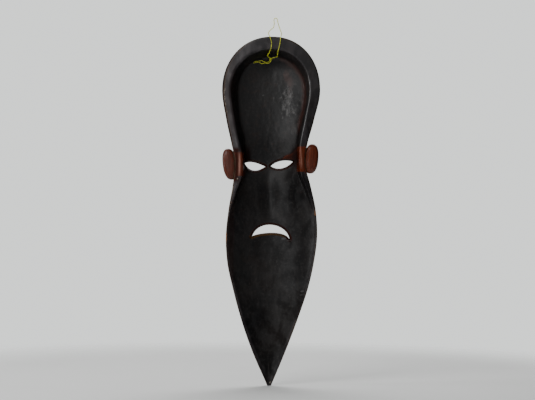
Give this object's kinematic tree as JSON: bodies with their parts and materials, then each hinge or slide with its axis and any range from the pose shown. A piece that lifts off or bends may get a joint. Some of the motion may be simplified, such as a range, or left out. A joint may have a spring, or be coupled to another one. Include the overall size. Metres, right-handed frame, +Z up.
{
  "type": "wooden wall mask",
  "caption": "Tall carved wooden wall mask with a hollow back, domed forehead, ears, slit eyes, a down-turned mouth, a pointed chin and a thin yellow string loop to hang it by.",
  "frame": {"origin": "the point where the string loop hangs on its nail, in the plane of the flat back rim", "axes": "+Z up, +Y out of the hollow back towards the wall, -Y out of the carved face, +X to the left of the mask as seen from behind"},
  "size_m": [0.2945, 0.1046, 1.1052],
  "materials": {
    "black_stained_wood": "semi-gloss black-brown stain over hand-carved reddish wood, rubbed through to red-brown at the ears, the eye band and the hole edges, with pale wear along the edges",
    "yellow_string": "thin two-ply twisted yellow-green string, kinked and knotted"
  },
  "bodies": {
    "root": {"mask": "black_stained_wood", "hanging_cord": "yellow_string"}
  },
  "joints": []
}
